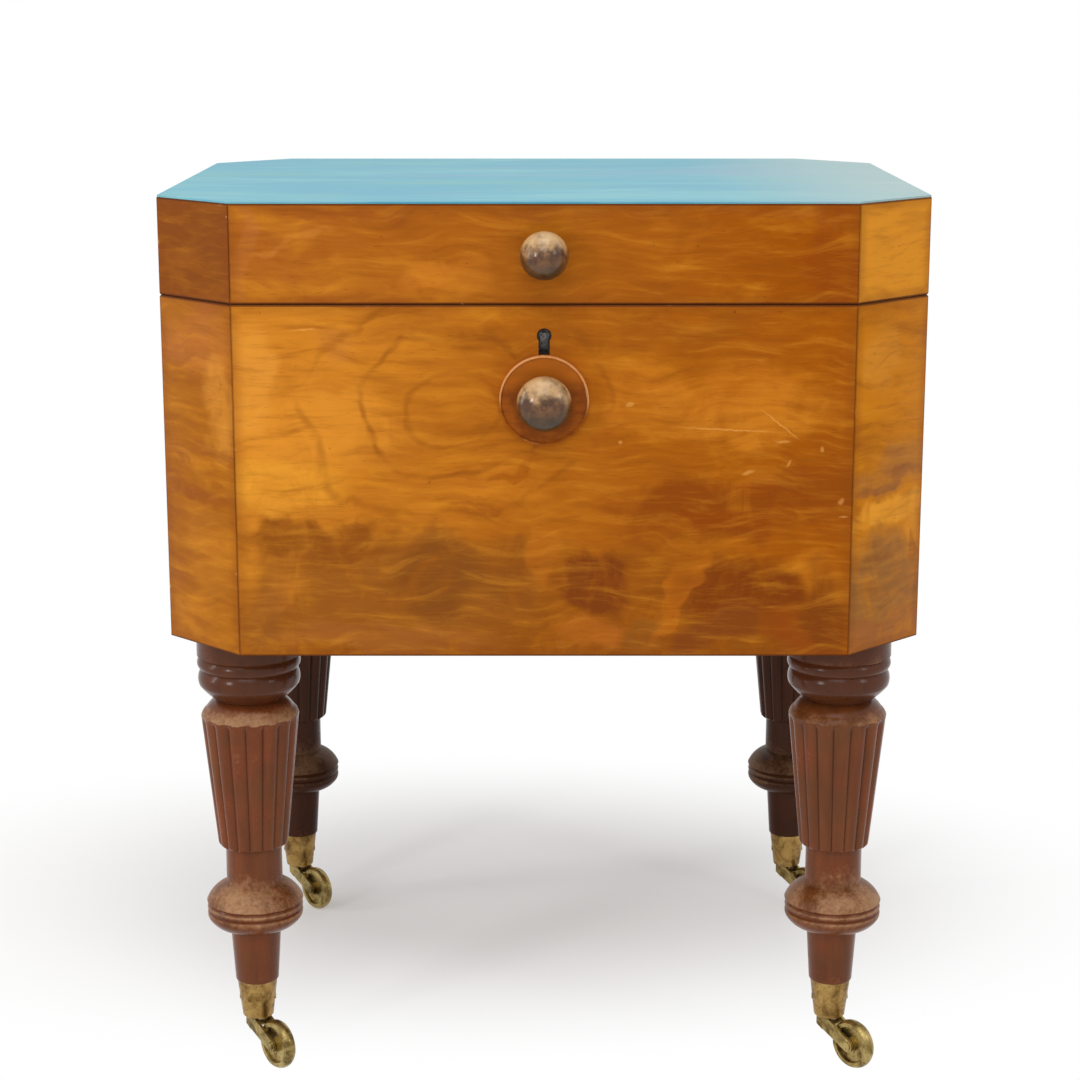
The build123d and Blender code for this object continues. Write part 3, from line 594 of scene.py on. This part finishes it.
def plain_wood(name, run):
    """run squeezes the grain each way, least along the board."""
    paint = Finish(name)
    place = paint.stretch(paint.object_place(), run)
    bands = paint.cloud(place, detail=4.0, rough=0.6, twist=0.4)
    pores = paint.cloud(place, 9.0, 2.0)
    colour = paint.stain(INNER_DARK, INNER_PALE, bands, 0.32, 0.68)
    colour = paint.stain(colour, INNER_PORE, pores, 0.40, 0.30, 0.5)
    paint.polish(colour, paint.fade(pores, 0.3, 0.6, 0.7, 0.55))
    paint.dent(pores, 0.00015)
    return paint.material


lengthways = plain_wood("inner_lengthways", (6.0, 90.0, 90.0))
crossways = plain_wood("inner_crossways", (90.0, 6.0, 90.0))
repaint(lengthways, "carcase_bottom", "lid_board", "divider_long_1", "divider_long_2")
repaint(crossways, "divider_cross_1", "divider_cross_2", "divider_cross_3")


# The liner: two pieces of sheet lead, on the bottom and up the walls, dressed into the carcase.
# It is dull grey with paler rubbed patches.
paint = Finish("sheet_lead")
place = paint.object_place()
stains = paint.cloud(place, 14.0, 5.0, 0.6, 0.5)
rubs = paint.cloud(place, 120.0, 3.0, 0.6)
colour = paint.stain(tone(96, 98, 102), tone(142, 144, 148), stains, 0.35, 0.65)
colour = paint.stain(colour, tone(176, 176, 178), rubs, 0.55, 0.75, 0.5)
paint.polish(colour, paint.fade(stains, 0.3, 0.7, 0.48, 0.68), metal=0.7)
paint.dent(stains, 0.0006)
repaint(paint.material, "liner_floor", "liner_walls")


# The legs: turned from dark mahogany, sixteen reeds carved down the taper, then polished. The
# turned rims are rubbed to a pale tan, the reeds are darker down their grooves, and painted shade
# darkens the wood just under the box and near the floor. REED_CREST is the reeds' radius at their
# foot and at the shoulder, where small arches end them.
CORNERS = ("front_left", "front_right", "back_left", "back_right")
REEDS = 16
REED_COLUMNS = 12
REED_DEPTH = 0.075
REED_WEAR = 0.28
REED_CREST = (0.0236, 0.0328)
REED_PHASES = {"front_left": 0.0, "front_right": 0.5, "back_left": 0.5, "back_right": 0.0}
ARCH_TOP = 0.005
ARCH_FOOT = 0.002
STEP_LENGTH = 0.0007
SHARP_ANGLE = math.radians(40)
cup_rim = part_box("castor_cup_front_left")[1].z
carcase_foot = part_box("carcase_bottom")[0].z
tenon_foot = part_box("leg_front_left")[0].z
COLLAR_TOP = carcase_foot - 0.0002
RING_FOOT = cup_rim + 0.0394
RING_GROOVE = RING_FOOT + 0.0160
RING_TOP = RING_GROOVE + 0.0036
SHAFT_FOOT = RING_TOP + 0.0122
SHAFT_TOP = SHAFT_FOOT + 0.0272
REED_FOOT = SHAFT_TOP + 0.0032
COLLAR_FOOT = carcase_foot - 0.0136
CUSHION_FOOT = COLLAR_FOOT - 0.0084
NECK = CUSHION_FOOT - 0.0210
SHOULDER = NECK - 0.0146
# Each point of the outline is its radius, its height, the swell of the stretch that ends there,
# and its wear.
LEG_OUTLINE = [
    (0.0, tenon_foot, 0.0, 0.0),
    (0.0095, tenon_foot, 0.0, 0.0),
    (0.0124, cup_rim, 0.0, 0.0),
    (0.0138, cup_rim, 0.0, 0.1),
    (0.0148, cup_rim + 0.0010, 0.0003, 0.4),
    (0.0173, RING_FOOT, 0.0, 0.05),
    (0.0183, RING_FOOT, 0.0, 0.0),
    (0.0318, RING_GROOVE - 0.0090, 0.0022, 0.45),
    (0.0326, RING_GROOVE - 0.0046, 0.0004, 0.9),
    (0.0314, RING_GROOVE - 0.0034, 0.0, 0.0),
    (0.0314, RING_GROOVE - 0.0030, 0.0, 0.0),
    (0.0325, RING_GROOVE, 0.0007, 1.0),
    (0.0314, RING_GROOVE + 0.0018, 0.0, 0.1),
    (0.0330, RING_TOP, 0.0, 0.9),
    (0.0191, SHAFT_FOOT, 0.0022, 0.85),
    (0.0191, SHAFT_TOP, 0.0, 0.0),
    (0.0241, REED_FOOT, 0.0011, 0.2),
    (0.0333, SHOULDER, 0.0, 0.95),
    (0.0296, SHOULDER + 0.0081, 0.0011, 0.75),
    (0.0228, NECK, 0.0007, 0.0),
    (0.0336, CUSHION_FOOT - 0.0106, 0.0006, 0.12),
    (0.0324, CUSHION_FOOT, 0.0013, 0.0),
    (0.0334, COLLAR_FOOT, 0.0019, 0.15),
    (0.0348, COLLAR_FOOT + 0.0014, 0.0, 0.5),
    (0.0348, COLLAR_TOP, 0.0, 0.0),
    (0.0, COLLAR_TOP, 0.0, 0.0),
]


def traced(outline):
    """The points of an outline, from its list of (radius, height, swell, wear): swell is how far
    the stretch that ends there stands off its chord, and wear how far that end is rubbed."""
    points = [(outline[0][0], outline[0][1], outline[0][3])]
    for (r0, z0, _, wear0), (r1, z1, swell, wear1) in zip(outline, outline[1:]):
        length = math.hypot(r1 - r0, z1 - z0)
        steps = max(1, math.ceil(length / STEP_LENGTH))
        for i in range(1, steps + 1):
            t = i / steps
            bulge = 4 * t * (1 - t) * swell
            r = r0 + (r1 - r0) * t + bulge * (z1 - z0) / length
            z = z0 + (z1 - z0) * t - bulge * (r1 - r0) / length
            wear = wear0 + (wear1 - wear0) * t
            points.append((max(r, 0.0), z, wear))
    return points


class Jig:
    """A tree of geometry steps as it is built: a step takes values or the results of earlier
    steps, and the tree's own inputs are added by name."""

    def __init__(self, name):
        self.tree = bpy.data.node_groups.new(name, "GeometryNodeTree")
        self.tree.interface.new_socket("Geometry", in_out="INPUT", socket_type="NodeSocketGeometry")
        self.tree.interface.new_socket("Geometry", in_out="OUTPUT", socket_type="NodeSocketGeometry")
        self.start = self.tree.nodes.new("NodeGroupInput")
        self.end = self.tree.nodes.new("NodeGroupOutput")
        self.keys = {}

    def size(self, name, kind="Float"):
        made = self.tree.interface.new_socket(name, in_out="INPUT", socket_type="NodeSocket" + kind)
        self.keys[name] = made.identifier
        return self.start.outputs[name]

    def step(self, kind, feeds, result=0, **settings):
        node = self.tree.nodes.new(kind)
        for key, value in settings.items():
            setattr(node, key, value)
        for key, value in feeds.items():
            if isinstance(value, bpy.types.NodeSocket):
                self.tree.links.new(value, node.inputs[key])
            else:
                node.inputs[key].default_value = value
        return node.outputs[result]

    def sum(self, kind, *values):
        return self.step("ShaderNodeMath", dict(enumerate(values)), operation=kind)

    def parts(self, vector):
        return self.step("ShaderNodeSeparateXYZ", {0: vector}).node.outputs

    def finish(self, geometry, material):
        whole = self.step("GeometryNodeRealizeInstances", {0: geometry})
        whole = self.step("GeometryNodeSetMaterial", {"Geometry": whole, "Material": material})
        self.tree.links.new(whole, self.end.inputs[0])

    def made(self, name, base, **sizes):
        """The mesh that the tree makes from a base mesh with these sizes."""
        maker = bpy.data.objects.new(name, base)
        bpy.context.scene.collection.objects.link(maker)
        work = maker.modifiers.new("work", "NODES")
        work.node_group = self.tree
        for key, value in sizes.items():
            work[self.keys[key]] = value
        bpy.context.view_layer.update()
        worked = maker.evaluated_get(bpy.context.evaluated_depsgraph_get())
        mesh = bpy.data.meshes.new_from_object(worked)
        bpy.data.objects.remove(maker)
        return mesh


def lathe(material):
    """Turns an outline round Z and carves reeds down it."""
    jig = Jig("lathe")
    rows, columns = jig.size("rows", "Int"), jig.size("columns", "Int")
    reeds, depth, phase = jig.size("reeds"), jig.size("depth"), jig.size("phase")
    crest_low, crest_high = jig.size("crest_low"), jig.size("crest_high")
    foot, top, neck = jig.size("reed_foot"), jig.size("reed_top"), jig.size("neck")

    feeds = {"Size X": 1.0, "Size Y": 1.0, "Vertices X": columns, "Vertices Y": rows}
    sheet = jig.step("GeometryNodeMeshGrid", feeds, "Mesh")
    at = jig.parts(jig.step("GeometryNodeInputPosition", {}))
    turn = jig.sum("MULTIPLY", jig.sum("ADD", at[0], 0.5), 2 * math.pi)
    row = jig.sum("MULTIPLY", jig.sum("ADD", at[1], 0.5), jig.sum("SUBTRACT", rows, 1.0))
    outline = {"Geometry": jig.start.outputs[0], "Index": jig.sum("ROUND", row)}
    point = {**outline, "Value": jig.step("GeometryNodeInputPosition", {})}
    point = jig.step("GeometryNodeSampleIndex", point, data_type="FLOAT_VECTOR")
    wear = jig.step("GeometryNodeInputNamedAttribute", {"Name": "wear"}, "Attribute", data_type="FLOAT")
    wear = jig.step("GeometryNodeSampleIndex", {**outline, "Value": wear}, data_type="FLOAT")
    on = jig.parts(point)

    share = jig.sum("MULTIPLY_ADD", jig.sum("DIVIDE", turn, 2 * math.pi), reeds, phase)
    off = jig.sum("SUBTRACT", jig.sum("FRACT", share), 0.5)
    valley = jig.sum("POWER", jig.sum("MULTIPLY", jig.sum("ABSOLUTE", off), 2.0), 2.0)
    feeds = {"Value": on[2], "From Min": foot, "From Max": top, "To Min": crest_low, "To Max": crest_high}
    crest = jig.step("ShaderNodeMapRange", feeds, clamp=False)
    arch_top, arch_foot = jig.sum("ADD", top, ARCH_TOP), jig.sum("SUBTRACT", top, ARCH_FOOT)
    feeds = {"Value": on[2], "From Min": arch_top, "From Max": arch_foot}
    sunk = jig.step("ShaderNodeMapRange", feeds, interpolation_type="SMOOTHSTEP")
    sunk = jig.sum("MULTIPLY", jig.sum("MULTIPLY", depth, sunk), -1.0)
    reed = jig.sum("MULTIPLY", crest, jig.sum("MULTIPLY_ADD", valley, sunk, 1.0))
    in_reeds = jig.sum("GREATER_THAN", on[2], foot)
    in_reeds = jig.sum("MULTIPLY", in_reeds, jig.sum("LESS_THAN", on[2], neck))
    cut = jig.sum("MULTIPLY", in_reeds, jig.sum("LESS_THAN", reed, on[0]))
    lowered = jig.sum("MULTIPLY", cut, jig.sum("SUBTRACT", reed, on[0]))
    radius = jig.sum("ADD", on[0], lowered)

    x = jig.sum("MULTIPLY", radius, jig.sum("COSINE", turn))
    y = jig.sum("MULTIPLY", radius, jig.sum("SINE", turn))
    place = jig.step("ShaderNodeCombineXYZ", {0: x, 1: y, 2: on[2]})
    worn_rim = jig.sum("MULTIPLY", wear, jig.sum("SUBTRACT", 1.0, cut))
    worn_reed = jig.sum("MULTIPLY", jig.sum("SUBTRACT", 1.0, valley), REED_WEAR)
    rub = jig.sum("ADD", worn_rim, jig.sum("MULTIPLY", cut, worn_reed))
    groove = jig.sum("MULTIPLY", cut, jig.sum("POWER", valley, 3.0))
    for name, value in (("rub", rub), ("groove", groove)):
        feeds = {"Geometry": sheet, "Name": name, "Value": value}
        sheet = jig.step("GeometryNodeStoreNamedAttribute", feeds, data_type="FLOAT", domain="POINT")
    sheet = jig.step("GeometryNodeSetPosition", {"Geometry": sheet, "Position": place})
    sheet = jig.step("GeometryNodeMergeByDistance", {"Geometry": sheet, "Distance": JOINED})
    jig.finish(sheet, material)
    return jig


def turned_leg(jig, name, phase):
    """The mesh of a leg about Z. phase moves its reeds round, as a share of one reed."""
    points = traced(LEG_OUTLINE)
    base = bpy.data.meshes.new(name)
    base.from_pydata([(r, 0, z) for r, z, _ in points], [(i, i + 1) for i in range(len(points) - 1)], [])
    note(base, "wear", [wear for _, _, wear in points], "FLOAT")
    mesh = jig.made(
        name,
        base,
        rows=len(points),
        columns=REEDS * REED_COLUMNS + 1,
        reeds=float(REEDS),
        depth=REED_DEPTH,
        phase=phase,
        crest_low=REED_CREST[0],
        crest_high=REED_CREST[1],
        reed_foot=SHAFT_TOP,
        reed_top=SHOULDER,
        neck=NECK,
    )
    shape = bmesh.new()
    shape.from_mesh(mesh)
    bmesh.ops.recalc_face_normals(shape, faces=shape.faces)
    shape.to_mesh(mesh)
    shape.free()
    mesh.polygons.foreach_set("use_smooth", [True] * len(mesh.polygons))
    mesh.set_sharp_from_angle(angle=SHARP_ANGLE)
    return mesh


LEG_RUN = (110.0, 110.0, 9.0)
WORN_TAN = (176, 136, 98)
GROOVE_DARKER = (66, 34, 20)
LEG_SPECK = (60, 32, 20)
LEG_SHADE = (52, 28, 18)
SHADED_BY_BOX = (0.256, 0.266)
SHADED_BY_FLOOR = (0.090, 0.070)


def dark_mahogany(name, body, depth, mirror):
    """body is the wood's main colour, and depth below 1 darkens all of it, as painted shade."""
    paint = Finish(name)
    place = paint.object_place()
    rub = paint.attribute("rub", "Fac")
    groove = paint.attribute("groove", "Fac")
    streaks = paint.cloud(paint.stretch(place, LEG_RUN), detail=4.0, rough=0.6)
    patches = paint.cloud(place, 30.0, 4.0, 0.6)
    specks = paint.cloud(place, 380.0, 3.0, 0.7)

    def shade(*levels):
        return tone(*(level * depth for level in levels))

    red, green, blue = body
    dull = shade(red * 0.86, green * 0.82, blue * 0.8)
    ruddy = shade(red * 1.08, green * 0.92, blue * 0.9)
    sallow = shade(red * 0.8, green * 0.9, blue * 0.85)
    colour = paint.stain(dull, shade(*body), streaks, 0.3, 0.7)
    colour = paint.stain(colour, ruddy, patches, 0.44, 0.66, 0.5)
    colour = paint.stain(colour, sallow, patches, 0.46, 0.30, 0.4)
    worn = paint.uneven(paint.uneven(rub, patches, 1.9), specks, 0.9)
    colour = paint.stain(colour, shade(*WORN_TAN), worn, 0.50, 1.25, 0.8)
    # Darker down the bottom of each groove between the reeds.
    colour = paint.stain(colour, shade(*GROOVE_DARKER), groove, 0.35, 1.0, 0.6)
    colour = paint.stain(colour, shade(*LEG_SPECK), specks, 0.34, 0.24, 0.5)
    height = paint.parts(place)[2]
    # Painted shade: the wood is darkened just under the box and towards the floor.
    under_box = paint.fade(height, *SHADED_BY_BOX, 0.0, 0.6)
    near_floor = paint.fade(height, *SHADED_BY_FLOOR, 0.0, 0.2)
    colour = paint.over(paint.sum("MAXIMUM", under_box, near_floor), colour, shade(*LEG_SHADE))
    paint.polish(colour, paint.fade(worn, 0.2, 1.0, 0.20, 0.46), mirror=mirror)
    paint.dent(paint.sum("MULTIPLY_ADD", specks, 0.5, streaks), 0.0001)
    return paint.material


front_leg_finish = dark_mahogany("leg_mahogany", (114, 62, 28), 1.0, 0.2)
# Painted shade: the back legs are a darker copy of the same wood, as if in the box's shadow.
shaded_back_leg_finish = dark_mahogany("shaded_back_leg_mahogany", (104, 58, 34), 0.66, 0.1)
lathe_jig = lathe(front_leg_finish)
for corner in CORNERS:
    low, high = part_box(f"leg_{corner}")
    mesh = turned_leg(lathe_jig, f"turned_leg_{corner}", REED_PHASES[corner])
    mesh.transform(Matrix.Translation(((low.x + high.x) / 2, (low.y + high.y) / 2, 0)))
    finish = front_leg_finish if corner.startswith("front") else shaded_back_leg_finish
    ready(f"turned_leg_{corner}", mesh, finish, "carcase", f"leg_{corner}")


# The knobs: turned mahogany, each with a peg let into the board behind it. They are dark with old
# polish, with painted shade underneath and a mottled painted highlight over their upper fronts.
for knob in ("lid_knob", "body_knob"):
    low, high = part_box(knob)
    middle = (low + high) / 2
    paint = Finish(knob + "_mahogany")
    place = paint.object_place()
    local = paint.stretch(place, (1.0, 1.0, 1.0), (-middle.x, -low.y, -middle.z))
    _, behind, height = paint.parts(local)
    patches = paint.cloud(place, 120.0, 4.0, 0.6, 0.1)
    specks = paint.cloud(place, 330.0, 3.0, 0.7)
    # Painted highlight: the upper front of the head is painted paler, as if lit from above, mottled like
    # rubbing.
    painted_highlight_area = paint.sum("MULTIPLY", paint.fade(height, -0.006, 0.010), paint.fade(behind, 0.022, 0.014))
    worn = paint.uneven(paint.uneven(painted_highlight_area, patches, 1.6), specks, 0.5)
    colour = paint.stain(tone(78, 48, 28), tone(116, 78, 46), patches, 0.35, 0.65)
    colour = paint.stain(colour, tone(214, 174, 122), worn, 0.30, 1.25, 0.75)
    # Painted shade: darker below the knob's middle.
    colour = paint.stain(colour, tone(54, 46, 30), height, 0.0, -0.013, 0.75)
    paint.polish(colour, paint.fade(specks, 0.3, 0.7, 0.12, 0.24), mirror=0.4)
    paint.dent(patches, 0.0002)
    repaint(paint.material, knob)


# The rose behind the lower knob: a turned disc of the same mahogany as the front, dished. Its rim is
# rubbed pale, more over its upper half as a painted highlight; painted light makes its upper face
# lighter, and painted shade from the knob darkens it towards its middle.
low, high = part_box("body_knob_rose")
middle = (low + high) / 2
rose_radius = (high.x - low.x) / 2
paint = Finish("rose_mahogany")
place = paint.stretch(paint.object_place(), (1.0, 0.0, 1.0), (-middle.x, 0.0, -middle.z))
away = paint.length(place)
height = paint.parts(place)[2]
streaks = paint.cloud(paint.stretch(place, (40.0, 40.0, 160.0)), detail=4.0, rough=0.6)
patches = paint.cloud(place, 60.0, 4.0, 0.6)
worn = paint.fade(away, rose_radius - 0.0024, rose_radius - 0.0008)
worn = paint.uneven(worn, patches, 1.6)
# Painted highlight: the rim is paler still over the rose's upper half.
worn = paint.sum("MULTIPLY_ADD", paint.fade(height, -0.012, 0.004), 0.55, worn)
colour = paint.stain(tone(126, 62, 8), tone(162, 84, 14), streaks, 0.3, 0.7)
colour = paint.stain(colour, tone(118, 54, 8), patches, 0.44, 0.64, 0.6)
# Painted shade: darker towards the middle, under the knob.
colour = paint.stain(colour, tone(96, 46, 12), away, 0.025, 0.015, 0.5)
# Painted light: lighter over the upper face, as if lit from above.
colour = paint.stain(colour, tone(188, 104, 22), height, 0.002, 0.020, 0.5)
colour = paint.stain(colour, tone(216, 152, 96), worn, 1.0, 1.6, 0.9)
paint.polish(colour, paint.fade(streaks, 0.3, 0.7, 0.34, 0.46), mirror=0.1)
paint.dent(streaks, 0.0001)
repaint(paint.material, "body_knob_rose")


# The brass: cast castors with their turned cups and screws, the hinges, the link plate and the
# inner screws, aged to brown and olive where nothing rubs them.
def aged_metal(name, bright, dull, brown, metal=1.0, mirror=0.5):
    """bright and dull are the metal's own colours, and brown is what lies on it in specks."""
    paint = Finish(name)
    place = paint.object_place()
    patches = paint.cloud(place, 90.0, 4.0, 0.6, 0.5)
    specks = paint.cloud(place, 620.0, 3.0, 0.7)
    colour = paint.stain(dull, bright, patches, 0.36, 0.64)
    colour = paint.stain(colour, brown, specks, 0.56, 0.70, 0.8)
    colour = paint.stain(colour, brown, patches, 0.44, 0.30, 0.7)
    paint.polish(colour, paint.fade(specks, 0.3, 0.7, 0.26, 0.5), metal, mirror)
    paint.dent(specks, 0.00006)
    return paint.material


castor_brass = aged_metal("castor_brass", tone(178, 156, 100), tone(122, 102, 58), tone(74, 58, 30))
cup_brass = aged_metal("cup_brass", tone(176, 142, 84), tone(126, 96, 52), tone(86, 62, 34))
for corner in CORNERS:
    repaint(castor_brass, *(f"castor_{part}_{corner}" for part in ("fork", "axle", "wheel")))
    repaint(cup_brass, f"castor_cup_{corner}")
repaint(cup_brass, "castor_cup_screws")
repaint(castor_brass, "hinge_lower_leaves", "hinge_upper_leaves", "hinge_pins")
repaint(castor_brass, "carcase_screws", "lid_screws", "lock_link_plate")


# The lock: a dull iron case and bolt, let into the front from behind, and the thin metal lining of
# its keyhole, painted near black as the shade inside the keyhole.
lock_iron = aged_metal("lock_iron", tone(120, 118, 114), tone(80, 78, 76), tone(62, 46, 34))
repaint(lock_iron, "lock_case", "lock_bolt")
# Painted shade: the keyhole's lining is near black, as the shade in the hole.
keyhole_painted_shade = aged_metal(
    "keyhole_painted_shade", tone(44, 34, 30), tone(26, 20, 20), tone(14, 11, 12), metal=0.0, mirror=0.1
)
repaint(keyhole_painted_shade, "keyhole_escutcheon")
